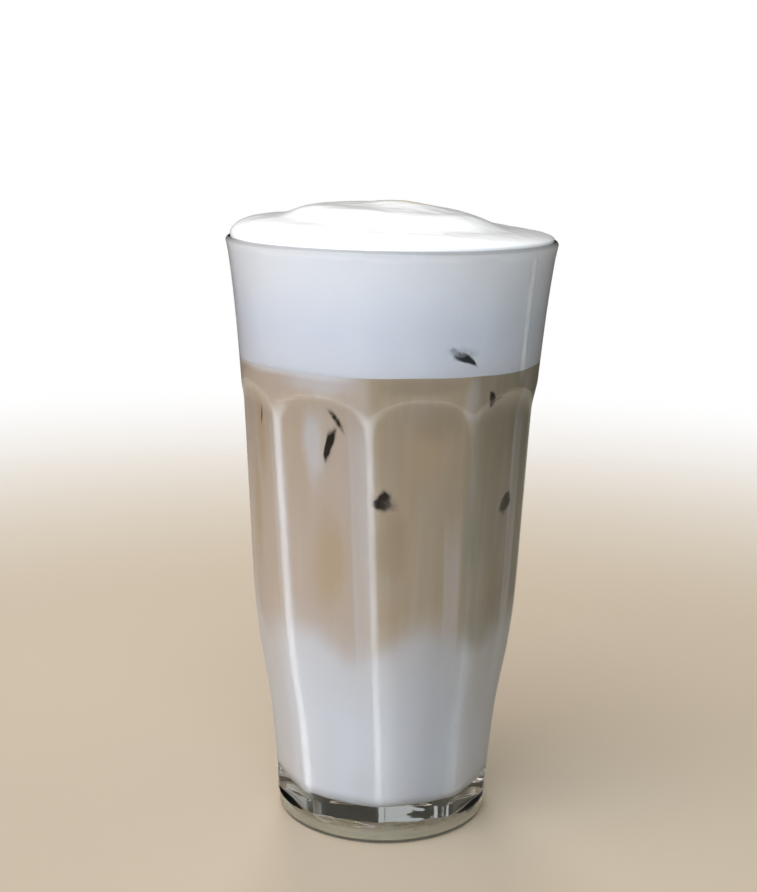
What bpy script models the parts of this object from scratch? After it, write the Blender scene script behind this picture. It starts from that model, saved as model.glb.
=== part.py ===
"""Iced cappuccino in a tall fluted glass, in metres, +Z up, standing on z = 0.

The glass is a turned tumbler: a round foot, nine flat flutes with arched tops and a flared plain band
under the lip. Inside it lie three layers: white milk, coffee milk and a cap of milk foam that domes
above the lip. Azimuths are measured from -Y, the shown side, towards +X.
"""

import math

import bmesh
import bpy

# Driving dimensions of the glass
GLASS_HEIGHT = 0.143
LIP_ROUND = 0.0009
FOOT_HEIGHT = 0.0044
FOOT_STEP = 0.0007
FOOT_ROUND = 0.0009
REST_RING_WIDTH = 0.0036
UNDERSIDE_RECESS = 0.0006
RECESS_SLOPE = 0.0040
BASE_THICKNESS = 0.0082
BASE_CORNER = 0.0040

# Outer radius over the ribs at a few heights: (height, radius)
OUTER_PROFILE = (
    (0.000, 0.0260),
    (0.012, 0.0270),
    (0.028, 0.0285),
    (0.036, 0.0297),
    (0.044, 0.0311),
    (0.056, 0.0325),
    (0.080, 0.0338),
    (0.104, 0.0351),
    (0.125, 0.0368),
    (0.138, 0.0383),
    (0.143, 0.0392),
)

# Radius of the round inside at a few heights: (height, radius)
INNER_PROFILE = (
    (0.0122, 0.0227),
    (0.028, 0.0244),
    (0.044, 0.0272),
    (0.060, 0.0290),
    (0.085, 0.0304),
    (0.104, 0.0318),
    (0.122, 0.0342),
    (0.135, 0.0357),
    (0.143, 0.0372),
)

# Heights of the rings on the plain band, on the flat flutes and on the inside above the base's corner
BAND_RINGS = (0.138, 0.131, 0.124, 0.117)
FLAT_RINGS = (0.090, 0.076, 0.064, 0.054, 0.046, 0.038, 0.030, 0.022, 0.014)
INNER_RINGS = (0.0122, 0.020, 0.030, 0.040, 0.052, 0.066, 0.085, 0.104, 0.117, 0.130, 0.138, 0.1421)

# Flutes, whose ribs wind slightly: the first rib's azimuth at one level, and its turn per metre of height
FLUTE_COUNT = 9
FIRST_RIB_AZIMUTH = math.radians(-4.9)
RIB_LEVEL = 0.070
RIB_TURN = math.radians(-64)
RIB_ROUND = 0.0030
FLUTE_FOOT = FOOT_HEIGHT + FOOT_STEP
FLUTE_SPRINGING = 0.1040
FLUTE_CROWN = 0.1102

# Layers of the drink
LAYER_GAP = 0.0003
MILK_LEVEL = 0.0530
MILK_LEVEL_WAVE = 0.0030
COFFEE_LEVEL = 0.1149
FOAM_EDGE = 0.1421
FOAM_SHOULDER = 0.0048
FOAM_LEAN = 0.0013
FOAM_MOUND = 0.0046
FOAM_MOUND_REACH = 0.0210
FOAM_LUMP = 0.00035

# Fineness of the faceted surfaces
FLAT_COLUMNS = 2
RIB_COLUMNS = 3
FLUTE_COLUMNS = 2 * (FLAT_COLUMNS + RIB_COLUMNS)
GLASS_COLUMNS = FLUTE_COUNT * FLUTE_COLUMNS
LAYER_COLUMNS = 60
BORDER_SHARES = (0, 0.34, 0.67)
FOAM_SHARES = (0, 0.14, 0.28, 0.42, 0.56, 0.70, 0.82, 0.90, 0.955, 0.985)
CORNER_STEPS = 4
ARCH_STEPS = 6
LIP_STEPS = 4

HALF_FLUTE = math.pi / FLUTE_COUNT
TOUCHING = 0.00001


def clear_scene():
    """Remove every object that the file starts with."""
    for thing in list(bpy.data.objects):
        bpy.data.objects.remove(thing, do_unlink=True)


def profile_radius(profile, height):
    """Radius on a smooth curve through the profile's points."""
    if height <= profile[0][0]:
        return profile[0][1]
    if height >= profile[-1][0]:
        return profile[-1][1]
    last = len(profile) - 1
    index = next(i for i in range(last) if height <= profile[i + 1][0])

    def slope(i):
        low = profile[max(i - 1, 0)]
        high = profile[min(i + 1, last)]
        return (high[1] - low[1]) / (high[0] - low[0])

    (low_z, low_r), (high_z, high_r) = profile[index], profile[index + 1]
    span = high_z - low_z
    t = (height - low_z) / span
    blend = t * t * (3 - 2 * t)
    low_push = slope(index) * span * t * (1 - t) ** 2
    high_push = slope(index + 1) * span * t * t * (1 - t)
    return low_r + (high_r - low_r) * blend + low_push - high_push


def outer_radius(height):
    """Outer radius of the plain turned glass, which the ribs keep."""
    return profile_radius(OUTER_PROFILE, height)


def inner_radius(height):
    """Radius of the round inside above the base's corner."""
    return profile_radius(INNER_PROFILE, height)


def flat_distance(height):
    """Distance of a flute's flat face from the axis."""
    rib = outer_radius(height)
    full = rib * math.cos(HALF_FLUTE) + RIB_ROUND * (1 - math.cos(HALF_FLUTE))
    if height <= FLUTE_SPRINGING:
        return full
    rise = min((height - FLUTE_SPRINGING) / (FLUTE_CROWN - FLUTE_SPRINGING), 1.0)
    half_width = math.acos(full / rib) * math.sqrt(1 - rise * rise)
    return rib * math.cos(half_width)


def flat_half_width(height):
    """Half the angle that a flute's flat face takes."""
    flat = flat_distance(height)
    if height < FLUTE_SPRINGING:
        return math.atan((flat - RIB_ROUND) * math.tan(HALF_FLUTE) / flat)
    return math.acos(min(flat / outer_radius(height), 1.0))


def fluted_point(height, column):
    """Azimuth and radius of one point of the fluted wall."""
    flute, place = divmod(column, FLUTE_COLUMNS)
    across = place - FLUTE_COLUMNS // 2
    steps = abs(across)
    half_width = flat_half_width(height)
    if steps <= FLAT_COLUMNS:
        offset = half_width * steps / FLAT_COLUMNS
        radius = flat_distance(height) / math.cos(offset)
    else:
        part = (steps - FLAT_COLUMNS) / RIB_COLUMNS
        offset = half_width + (HALF_FLUTE - half_width) * part
        radius = rib_radius(height, HALF_FLUTE - offset)
    centre = FIRST_RIB_AZIMUTH + (2 * flute + 1) * HALF_FLUTE
    return centre + math.copysign(offset, across), radius


def rib_radius(height, from_rib):
    """Radius on the rounded rib, or on the plain band above the flutes' springing."""
    if height >= FLUTE_SPRINGING:
        return outer_radius(height)
    centre = (flat_distance(height) - RIB_ROUND) / math.cos(HALF_FLUTE)
    return centre * math.cos(from_rib) + math.sqrt(RIB_ROUND**2 - (centre * math.sin(from_rib)) ** 2)


def evenly(low, high, count):
    """Count values from low to high, both included."""
    return [low + (high - low) * i / (count - 1) for i in range(count)]


def arc(centre_r, centre_z, radius, start, end, count):
    """Points of a turned profile on an arc, angles in degrees from +X."""
    angles = [math.radians(a) for a in evenly(start, end, count)]
    return [(centre_r + radius * math.cos(a), centre_z + radius * math.sin(a)) for a in angles]


def arch_heights():
    """Heights of the rings that draw the arched tops of the flutes, from the crowns down."""
    rise = FLUTE_CROWN - FLUTE_SPRINGING
    return [FLUTE_SPRINGING + rise * math.sin(math.radians(a)) for a in evenly(82, 0, ARCH_STEPS)]


def corner_run():
    """Rounded corner inside, from the flat bottom up to the wall."""
    centre_z = BASE_THICKNESS + BASE_CORNER
    return arc(INNER_PROFILE[0][1] - BASE_CORNER, centre_z, BASE_CORNER, 270, 360, CORNER_STEPS)


def glass_outline():
    """Turned profile of the glass, from the lip's top down the outside and back up the inside."""
    lip_z = GLASS_HEIGHT - LIP_ROUND
    rest_outer = outer_radius(0) - FOOT_ROUND
    rest_inner = rest_outer - REST_RING_WIDTH
    band_foot = FLUTE_CROWN + FOOT_STEP / 2
    points = arc(outer_radius(GLASS_HEIGHT) - LIP_ROUND, lip_z, LIP_ROUND, 90, 0, LIP_STEPS)
    points += [(outer_radius(z), z) for z in BAND_RINGS + (band_foot,)]
    points += [(outer_radius(z), z) for z in arch_heights()]
    points += [(outer_radius(z), z) for z in FLAT_RINGS + (FLUTE_FOOT, FOOT_HEIGHT)]
    points += arc(rest_outer, FOOT_ROUND, FOOT_ROUND, 0, -90, 3)
    points += [(rest_inner, 0), (rest_inner - RECESS_SLOPE, UNDERSIDE_RECESS), (0, UNDERSIDE_RECESS)]
    points += [(0, BASE_THICKNESS)] + corner_run()
    points += [(inner_radius(z), z) for z in INNER_RINGS[1:]]
    lip_inside = arc(inner_radius(GLASS_HEIGHT) + LIP_ROUND, lip_z, LIP_ROUND, 180, 90, LIP_STEPS)
    return points + lip_inside[1:]


def spun(outline, columns):
    """Bmesh of a profile turned about the axis, with its poles and seam closed."""
    mesh = bmesh.new()
    side = math.sin(FIRST_RIB_AZIMUTH), -math.cos(FIRST_RIB_AZIMUTH)
    chain = [mesh.verts.new((r * side[0], r * side[1], z)) for r, z in outline]
    edges = [mesh.edges.new(pair) for pair in zip(chain, chain[1:])]
    bmesh.ops.spin(
        mesh,
        geom=chain + edges,
        cent=(0, 0, 0),
        axis=(0, 0, 1),
        angle=2 * math.pi,
        steps=columns,
        use_merge=True,
    )
    bmesh.ops.remove_doubles(mesh, verts=mesh.verts, dist=TOUCHING)
    bmesh.ops.recalc_face_normals(mesh, faces=mesh.faces)
    return mesh


def azimuth_of(point):
    """Azimuth of a point from -Y towards +X, from 0 to a full turn past the first rib."""
    return (math.atan2(point.x, -point.y) - FIRST_RIB_AZIMUTH) % (2 * math.pi)


def cut_flutes(mesh):
    """Move the outer wall's points onto the flat flutes and rounded ribs."""
    for vert in mesh.verts:
        height = vert.co.z
        radius = math.hypot(vert.co.x, vert.co.y)
        on_outside = abs(radius - outer_radius(height)) < TOUCHING
        if not on_outside or height < FLUTE_FOOT - TOUCHING or height > FLUTE_CROWN:
            continue
        column = round(azimuth_of(vert.co) / (2 * math.pi) * GLASS_COLUMNS) % GLASS_COLUMNS
        azimuth, radius = fluted_point(height, column)
        vert.co.x = radius * math.sin(azimuth)
        vert.co.y = -radius * math.cos(azimuth)


def wind(mesh):
    """Turn each ring of the glass about its axis by its height, so that the ribs lean."""
    for vert in mesh.verts:
        turn = RIB_TURN * (vert.co.z - RIB_LEVEL)
        x, y = vert.co.x, vert.co.y
        vert.co.x = x * math.cos(turn) - y * math.sin(turn)
        vert.co.y = x * math.sin(turn) + y * math.cos(turn)


def milk_surface(azimuth, share):
    """Height of the uneven border between the white milk and the coffee milk."""
    wave = 0.6 * math.sin(2 * azimuth + 0.8) + 0.4 * math.sin(3 * azimuth - 1.9)
    return MILK_LEVEL + MILK_LEVEL_WAVE * share * wave


def foam_top(x, y):
    """Height of the foam's top: a full shoulder at the lip, a broad low mound and slight lumps."""
    reach = min(math.hypot(x, y) / layer_radius(FOAM_EDGE), 1.0)
    shoulder = math.sqrt(1 - reach**10)
    plateau = FOAM_SHOULDER - FOAM_LEAN * x / layer_radius(FOAM_EDGE)
    mound = FOAM_MOUND * math.exp(-((math.hypot(x, y) / FOAM_MOUND_REACH) ** 4))
    lump = math.sin(150 * x + 1.0) * math.cos(135 * y - 0.6) + 0.6 * math.sin(260 * x - 190 * y)
    return FOAM_EDGE + plateau * shoulder + mound + FOAM_LUMP * lump * shoulder


def layer_radius(height):
    """Radius of a layer, one gap clear of the straight runs between the inside's rings."""
    index = next(i for i, z in enumerate(INNER_RINGS[1:], 1) if height <= z or z == INNER_RINGS[-1])
    low_z, high_z = INNER_RINGS[index - 1], INNER_RINGS[index]
    part = (height - low_z) / (high_z - low_z)
    low_r, high_r = inner_radius(low_z), inner_radius(high_z)
    return low_r + (high_r - low_r) * part - LAYER_GAP


def wall_run(high, low):
    """Profile points just inside the glass wall, from high down to low."""
    between = [z for z in reversed(INNER_RINGS) if low + LAYER_GAP < z < high - LAYER_GAP]
    return [(layer_radius(z), z) for z in [high] + between + [low]]


def bend_border(mesh, level, lift):
    """Give a layer's flat border its uneven height, and keep its edge clear of the wall."""
    for vert in mesh.verts:
        if abs(vert.co.z - level) > TOUCHING:
            continue
        share = math.hypot(vert.co.x, vert.co.y) / layer_radius(level)
        vert.co.z = milk_surface(azimuth_of(vert.co), share) + lift
        spread = layer_radius(vert.co.z) / layer_radius(level)
        vert.co.x *= spread
        vert.co.y *= spread


def milk_mesh():
    """White milk at the bottom, up to its uneven border with the coffee milk."""
    top = [(layer_radius(MILK_LEVEL) * share, MILK_LEVEL) for share in BORDER_SHARES]
    side = wall_run(MILK_LEVEL, INNER_RINGS[0])
    corner = [(r - LAYER_GAP, z + LAYER_GAP) for r, z in reversed(corner_run()[:-1])]
    mesh = spun(top + side + corner + [(0, BASE_THICKNESS + LAYER_GAP)], LAYER_COLUMNS)
    bend_border(mesh, MILK_LEVEL, 0)
    return mesh


def coffee_mesh():
    """Coffee milk between the white milk and the foam."""
    side = wall_run(COFFEE_LEVEL, MILK_LEVEL)
    bottom = [(layer_radius(MILK_LEVEL) * share, MILK_LEVEL) for share in reversed(BORDER_SHARES)]
    mesh = spun([(0, COFFEE_LEVEL)] + side + bottom, LAYER_COLUMNS)
    bend_border(mesh, MILK_LEVEL, LAYER_GAP)
    return mesh


def foam_mesh():
    """Cap of milk foam, from the coffee milk to its mound above the lip."""
    floor = COFFEE_LEVEL + LAYER_GAP
    top = [(layer_radius(FOAM_EDGE) * share, FOAM_EDGE) for share in FOAM_SHARES]
    mesh = spun(top + wall_run(FOAM_EDGE, floor) + [(0, floor)], LAYER_COLUMNS)
    for vert in mesh.verts:
        if abs(vert.co.z - FOAM_EDGE) < TOUCHING:
            vert.co.z = foam_top(vert.co.x, vert.co.y)
    return mesh


def glass_mesh():
    """The whole glass as one closed body."""
    outline = glass_outline()
    mesh = spun(outline + outline[:1], GLASS_COLUMNS)
    cut_flutes(mesh)
    wind(mesh)
    return mesh


def principled(name, colour, roughness, metallic=0.0, transmission=0.0, ior=1.5):
    """Principled material with one colour."""
    material = bpy.data.materials.new(name)
    material.use_nodes = True
    shader = material.node_tree.nodes["Principled BSDF"]
    shader.inputs["Base Color"].default_value = (*colour, 1.0)
    shader.inputs["Roughness"].default_value = roughness
    shader.inputs["Metallic"].default_value = metallic
    shader.inputs["Transmission Weight"].default_value = transmission
    shader.inputs["IOR"].default_value = ior
    return material


def add_piece(name, mesh, material, collection):
    """Make one named object from a bmesh and shade its round surfaces smooth."""
    data = bpy.data.meshes.new(name)
    mesh.to_mesh(data)
    mesh.free()
    data.shade_smooth()
    data.set_sharp_from_angle(angle=math.radians(35))
    data.materials.append(material)
    piece = bpy.data.objects.new(name, data)
    collection.objects.link(piece)
    return piece


def build():
    """Make the glass and the three layers of the drink."""
    clear_scene()
    collection = bpy.data.collections.new("iced_cappuccino")
    bpy.context.scene.collection.children.link(collection)
    clear_glass = principled("clear_glass", (0.90, 0.93, 0.92), 0.05, transmission=0.9)
    white_milk = principled("white_milk", (0.78, 0.78, 0.80), 0.45)
    coffee_milk = principled("coffee_milk", (0.45, 0.36, 0.26), 0.45)
    milk_foam = principled("milk_foam", (0.92, 0.91, 0.88), 0.70)
    add_piece("glass", glass_mesh(), clear_glass, collection)
    add_piece("milk_layer", milk_mesh(), white_milk, collection)
    add_piece("coffee_layer", coffee_mesh(), coffee_milk, collection)
    add_piece("foam", foam_mesh(), milk_foam, collection)


build()
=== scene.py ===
"""Looks of an iced cappuccino: a clear fluted glass with white milk, coffee milk, ice and a foam cap."""

import math

import bmesh
import bpy
from bpy.props import FloatProperty, FloatVectorProperty, PointerProperty
from mathutils import Matrix, Quaternion, Vector, noise


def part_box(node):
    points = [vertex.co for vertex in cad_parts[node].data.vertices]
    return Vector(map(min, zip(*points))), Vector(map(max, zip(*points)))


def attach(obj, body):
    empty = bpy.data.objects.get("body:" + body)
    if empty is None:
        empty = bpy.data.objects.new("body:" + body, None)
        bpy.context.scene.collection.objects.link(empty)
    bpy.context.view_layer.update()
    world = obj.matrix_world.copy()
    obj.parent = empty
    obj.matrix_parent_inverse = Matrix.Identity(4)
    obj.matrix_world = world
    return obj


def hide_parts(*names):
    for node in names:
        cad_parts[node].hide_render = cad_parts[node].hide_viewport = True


bl_info = {
    "name": "Iced cappuccino",
    "version": (1, 0, 0),
    "blender": (4, 5, 0),
    "location": "3D View > Sidebar > Drink",
    "description": "Makes a clear fluted glass of iced cappuccino and a plain studio round it",
    "category": "Object",
}

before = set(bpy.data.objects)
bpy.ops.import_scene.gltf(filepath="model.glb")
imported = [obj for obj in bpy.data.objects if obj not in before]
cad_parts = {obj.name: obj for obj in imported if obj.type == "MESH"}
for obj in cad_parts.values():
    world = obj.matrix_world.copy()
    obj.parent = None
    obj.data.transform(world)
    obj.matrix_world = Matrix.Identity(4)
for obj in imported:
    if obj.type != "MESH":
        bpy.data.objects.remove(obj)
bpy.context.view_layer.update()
GLASS_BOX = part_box("glass")
COFFEE_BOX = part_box("coffee_layer")

# Outline of the glass in metres: outer radius over the ribs and radius of the round inside, by height
GLASS_HEIGHT = GLASS_BOX[1].z
OUTER_PROFILE = (
    (0.000, 0.0260),
    (0.012, 0.0270),
    (0.028, 0.0285),
    (0.036, 0.0297),
    (0.044, 0.0311),
    (0.056, 0.0325),
    (0.080, 0.0338),
    (0.104, 0.0351),
    (0.125, 0.0368),
    (0.138, 0.0383),
    (0.143, 0.0392),
)
INNER_PROFILE = (
    (0.0122, 0.0227),
    (0.028, 0.0244),
    (0.044, 0.0272),
    (0.060, 0.0290),
    (0.085, 0.0304),
    (0.104, 0.0318),
    (0.122, 0.0342),
    (0.135, 0.0357),
    (0.143, 0.0372),
)
LIP_ROUND = 0.0009
FOOT_HEIGHT = 0.0044
FOOT_STEP = 0.0007
FOOT_FILLET = 0.0005
FOOT_ROUND = 0.0009
REST_RING_WIDTH = 0.0036
UNDERSIDE_RECESS = 0.0006
RECESS_SLOPE = 0.0040
BASE_THICKNESS = 0.0082
BASE_CORNER = 0.0040

# Flutes, whose ribs wind slightly: the first rib's azimuth at one level, and its turn per metre of height
FLUTE_COUNT = 9
FIRST_RIB_AZIMUTH = math.radians(-4.9)
RIB_LEVEL = 0.070
RIB_TURN = math.radians(-64)
RIB_ROUND = 0.0030
FLUTE_SPRINGING = 0.1040
FLUTE_CROWN = 0.1102
HALF_FLUTE = math.pi / FLUTE_COUNT
RIB_SPACING = 360 / FLUTE_COUNT
RIB_SOFTNESS = 0.0011
ARCH_SOFTNESS = 0.0005
ARCH_RUN_OUT = 0.62
GLOW_START = 0.0085
GLOW_FULL = 0.0120

# Levels of the drink, from the frame
COFFEE_LEVEL = COFFEE_BOX[1].z
COFFEE_DIP = 0.0002
COFFEE_RIPPLE = 0.00015
MILK_LEVEL_WAVE = 0.0030
LIP_FOOT = GLASS_HEIGHT - LIP_ROUND
FOAM_BULGE_HEIGHT = 0.1434
FOAM_BULGE = 0.0382
FOAM_PLATEAU = 0.00345
FOAM_LEAN = 0.0018
FOAM_MOUND_REACH = 0.0236
FOAM_CREST = 0.0014
FOAM_CREST_REACH = 0.0090
FOAM_LUMP = 0.00014
INTO_WALL = 0.00012
LAYER_LAP = 0.00010

# Name of the glass's attribute for its painted highlight, which is 1 on the crest of its ribs and arches
PAINTED_HIGHLIGHT = "painted_highlight"

# Name of the ice's attribute for its painted shade, which is 1 where it lies bare against the wall
BARE_ICE_SHADE = "bare"

# Painted highlight on a rib's crest, set as light that the glass scatters there, and for each rib its share
# of it and the depth over which it shows
RIB_PAINTED_HIGHLIGHT = 0.32
RIB_LIGHT = (
    (0.80, 0.00023),
    (0.20, 0.00020),
    (0.55, 0.00030),
    (0.80, 0.00034),
    (0.70, 0.00030),
    (0.85, 0.00036),
    (0.75, 0.00030),
    (0.80, 0.00040),
    (0.85, 0.00042),
)
ARCH_LIGHT = 0.00040
ARCH_BELOW = 0.0010
ARCH_ABOVE = 0.0015
ARCH_SHARE = 0.55

# Painted highlight on the foot's rolled edge and along the faint upright seam in the collar, set as light
# that the glass scatters there
FOOT_LIGHT = 0.24
FOOT_ROUND_LIGHT = 0.16
SEAM_LIGHT = 1.00
SEAM_AZIMUTH = math.radians(60)
SEAM_WIDTH = 0.0019
SEAM_FOOT = (0.112, 0.118)
SEAM_TOP = (0.138, 0.141)

# Clouds in the coffee milk: azimuth in degrees, height, half width, half height and strength
WARM_CLOUDS = (
    (-25, 0.071, 0.0044, 0.0130, 0.70),
    (3, 0.077, 0.0044, 0.0100, 0.40),
    (17, 0.097, 0.0062, 0.0090, 0.45),
    (-66, 0.098, 0.0026, 0.0120, 0.75),
    (-76, 0.080, 0.0030, 0.0120, 0.75),
)
MILKY_CLOUDS = (
    (-27, 0.1130, 0.0090, 0.0026, 0.75),
    (-32, 0.0985, 0.0030, 0.0090, 0.85),
    (33.5, 0.1100, 0.0020, 0.0050, 0.40),
    (140, 0.106, 0.0080, 0.0050, 0.80),
    (-130, 0.092, 0.0040, 0.0100, 0.80),
)
DENSE_CLOUDS = (
    (12, 0.1130, 0.0100, 0.0022, 0.45),
    (20, 0.1045, 0.0064, 0.0044, 0.30),
    (58, 0.062, 0.0040, 0.0090, 0.50),
    (2, 0.0760, 0.0034, 0.0090, 0.45),
)

# Painted light: pale bands beside the ribs that stand for the light their lenses gather: degrees from a rib
# to each edge, softness, the heights between which they fade, and where the right front rib's band ends
BAND_EDGES = (-9.6, 0.5)
BAND_SOFTNESS = 1.5
BAND_FADE = (0.098, 0.108)
RIGHT_BAND_END = (0.070, 0.086)

# Height of the cloudy border between milk and coffee, and its six waves round the glass
BORDER_DROP = 0.0015
BORDER_WAVE = 0.0026
BORDER_WAVES = 6
BORDER_WAVE_START = math.radians(-57)

# Dark places where ice lies bare against the wall, coloured nearly black as painted shade for the dark seen
# through it: azimuth in degrees, height, half length, half width, lean in degrees from level, bend, taper
# towards its far end and darkness
BARE_ICE = (
    (28.6, 0.1183, 0.0041, 0.00120, -24, 0.0009, 0.4, 1.00),
    (24.4, 0.1207, 0.0032, 0.00130, -25, 0.0, 0.0, 0.24),
    (28.6, 0.1206, 0.0044, 0.00150, -14, 0.0, 0.0, 0.12),
    (41.6, 0.1093, 0.0025, 0.00120, -86, 0.0010, 0.0, 1.00),
    (46.6, 0.1096, 0.0024, 0.00045, 18, 0.0, 0.0, 0.40),
    (-1.3, 0.0863, 0.0033, 0.00260, 80, 0.0004, 0.3, 1.00),
    (1.2, 0.0856, 0.0030, 0.00200, -50, 0.0, 0.0, 0.22),
    (62.2, 0.0828, 0.0040, 0.00260, 50, 0.0, 0.3, 1.00),
    (-23.6, 0.0987, 0.0056, 0.00130, 74, 0.0004, -0.5, 1.00),
    (-20.6, 0.1048, 0.0044, 0.00100, -56, 0.0, 0.2, 0.50),
    (-64.4, 0.1024, 0.0034, 0.00070, 79, 0.0, 0.0, 0.55),
    (118, 0.0930, 0.0030, 0.00110, 40, 0.0006, 0.4, 0.90),
    (163, 0.1050, 0.0036, 0.00080, -35, 0.0006, -0.4, 0.85),
    (-112, 0.0840, 0.0024, 0.00170, 70, 0.0, 0.1, 0.95),
    (-150, 0.1010, 0.0042, 0.00090, 62, 0.0005, 0.4, 0.90),
)
ICE_RAGGED = 0.32
ICE_SOLID = 0.15
ICE_PROUD = 0.00010
ICE_DEPTH = 0.0008

# Ice cubes sunk in the coffee milk: azimuth in degrees, height and turn
ICE_CUBES = (
    (-26, 0.1010, 0.4),
    (36, 0.1040, 1.1),
    (-2, 0.0780, 0.2),
    (62, 0.0790, 0.9),
    (118, 0.0950, 0.6),
    (-112, 0.0850, 1.4),
    (160, 0.0760, 0.3),
    (-160, 0.1010, 1.0),
)
ICE_CUBE_REACH = 0.0165
ICE_BALL = 0.62
ICE_ROUNDNESS = 0.35
ICE_WEAR = 0.06

# Fineness
GLASS_COLUMNS = 60 * FLUTE_COUNT
DRINK_COLUMNS = 200
TOUCHING = 0.000002


def profile_radius(profile, height):
    """Radius on a smooth curve through the profile's points."""
    if height <= profile[0][0]:
        return profile[0][1]
    if height >= profile[-1][0]:
        return profile[-1][1]
    last = len(profile) - 1
    index = next(i for i in range(last) if height <= profile[i + 1][0])

    def slope(i):
        low = profile[max(i - 1, 0)]
        high = profile[min(i + 1, last)]
        return (high[1] - low[1]) / (high[0] - low[0])

    (low_z, low_r), (high_z, high_r) = profile[index], profile[index + 1]
    span = high_z - low_z
    t = (height - low_z) / span
    blend = t * t * (3 - 2 * t)
    low_push = slope(index) * span * t * (1 - t) ** 2
    high_push = slope(index + 1) * span * t * t * (1 - t)
    return low_r + (high_r - low_r) * blend + low_push - high_push


def outer_radius(height):
    """Outer radius of the plain turned glass, which the ribs keep."""
    return profile_radius(OUTER_PROFILE, height)


def inner_radius(height):
    """Radius of the round inside above the base's corner."""
    return profile_radius(INNER_PROFILE, height)


def evenly(low, high, count):
    """Count values from low to high, both included."""
    return [low + (high - low) * i / (count - 1) for i in range(count)]


def arc(centre_r, centre_z, radius, start, end, count):
    """Points of a turned profile on an arc, angles in degrees from +X."""
    angles = [math.radians(a) for a in evenly(start, end, count)]
    return [(centre_r + radius * math.cos(a), centre_z + radius * math.sin(a)) for a in angles]


def soft_min(a, b, softness):
    """Smaller of two values, rounded where they are nearly equal."""
    near = max(softness - abs(a - b), 0.0)
    return min(a, b) - near * near / (4 * softness)


def smooth_step(low, high, value):
    """Smooth rise from 0 at low to 1 at high."""
    t = min(max((value - low) / (high - low), 0.0), 1.0)
    return t * t * (3 - 2 * t)


def flat_distance(height):
    """Distance of a flute's flat face from the axis, running out past the wall above its crown."""
    rib = outer_radius(height)
    full = rib * math.cos(HALF_FLUTE) + RIB_ROUND * (1 - math.cos(HALF_FLUTE))
    if height <= FLUTE_SPRINGING:
        return full
    rise = (height - FLUTE_SPRINGING) / (FLUTE_CROWN - FLUTE_SPRINGING)
    if rise >= 1:
        return rib + (height - FLUTE_CROWN) * ARCH_RUN_OUT
    return rib * math.cos(math.acos(full / rib) * math.sqrt(1 - rise * rise))


def rib_light(height, azimuth):
    """Share of painted highlight on the nearest rib or arch, and the depth below the ribs over which it
    shows.
    """
    position = (azimuth - FIRST_RIB_AZIMUTH) / (2 * HALF_FLUTE) % FLUTE_COUNT
    before = int(position) % FLUTE_COUNT
    blend = smooth_step(0.35, 0.65, position - int(position))
    (share, reach), (next_share, next_reach) = RIB_LIGHT[before], RIB_LIGHT[(before + 1) % FLUTE_COUNT]
    low = FLUTE_SPRINGING - ARCH_BELOW
    high = FLUTE_SPRINGING + ARCH_ABOVE
    arch = ARCH_LIGHT * smooth_step(low, high, height)
    arch *= 1 - 0.8 * smooth_step(high, FLUTE_CROWN, height)
    share += (next_share - share) * blend
    share += (ARCH_SHARE - share) * smooth_step(low, high + ARCH_ABOVE, height)
    return share, reach + (next_reach - reach) * blend + arch


def fluted_radius(height, azimuth):
    """Outer radius with flat flutes, rounded ribs and arched tops, and the share of painted highlight on
    its edges.
    """
    plain = outer_radius(height)
    across = (azimuth - FIRST_RIB_AZIMUTH) % (2 * HALF_FLUTE) - HALF_FLUTE
    flat = flat_distance(height)
    near_face = flat / math.cos(across)
    next_face = flat / math.cos(2 * HALF_FLUTE - abs(across))
    faces = soft_min(near_face, next_face, RIB_SOFTNESS)
    fluted = soft_min(faces, plain + ARCH_SOFTNESS / 4, ARCH_SOFTNESS)
    above_foot = smooth_step(FOOT_HEIGHT, FOOT_HEIGHT + FOOT_STEP, height)
    share, reach = rib_light(height, azimuth)
    fade = 1 - 0.65 * smooth_step(FLUTE_SPRINGING, FLUTE_CROWN - 0.002, height)
    crest = smooth_step(0, 1, 1 - abs(faces - plain) / reach)
    edge = share * crest * fade * smooth_step(GLOW_START, GLOW_FULL, height)
    foot = FOOT_LIGHT * (1 - smooth_step(FOOT_HEIGHT - FOOT_STEP, FOOT_HEIGHT, height))
    from_seam = abs(azimuth - SEAM_AZIMUTH) * plain / SEAM_WIDTH
    seam = SEAM_LIGHT * smooth_step(0, 1, 1 - from_seam)
    seam *= smooth_step(*SEAM_FOOT, height) * (1 - smooth_step(*SEAM_TOP, height))
    return plain + (fluted - plain) * above_foot, max(edge, foot, seam)


def spun(outline, columns):
    """Bmesh of a profile turned about the axis, with its poles and seam closed."""
    mesh = bmesh.new()
    side = math.sin(FIRST_RIB_AZIMUTH), -math.cos(FIRST_RIB_AZIMUTH)
    chain = [mesh.verts.new((r * side[0], r * side[1], z)) for r, z in outline]
    edges = [mesh.edges.new(pair) for pair in zip(chain, chain[1:])]
    bmesh.ops.spin(
        mesh,
        geom=chain + edges,
        cent=(0, 0, 0),
        axis=(0, 0, 1),
        angle=2 * math.pi,
        steps=columns,
        use_merge=True,
    )
    bmesh.ops.remove_doubles(mesh, verts=mesh.verts, dist=TOUCHING)
    bmesh.ops.recalc_face_normals(mesh, faces=mesh.faces)
    return mesh


def azimuth_of(point):
    """Azimuth of a point, from -Y towards +X."""
    return math.atan2(point.x, -point.y)


def add_piece(name, mesh, material, node=None):
    """Turn a bmesh into a named piece of the drink that rides on the part."""
    data = bpy.data.meshes.new(name)
    mesh.to_mesh(data)
    mesh.free()
    data.shade_smooth()
    data.set_sharp_from_angle(angle=math.radians(45))
    data.materials.append(material)
    piece = bpy.data.objects.new(name, data)
    bpy.context.scene.collection.objects.link(piece)
    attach(piece, "root")
    if node:
        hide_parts(node)
    return piece


# Glass


def corner_run(count):
    """Rounded corner inside, from the flat bottom up to the wall."""
    centre_z = BASE_THICKNESS + BASE_CORNER
    return arc(INNER_PROFILE[0][1] - BASE_CORNER, centre_z, BASE_CORNER, 270, 360, count)


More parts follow.
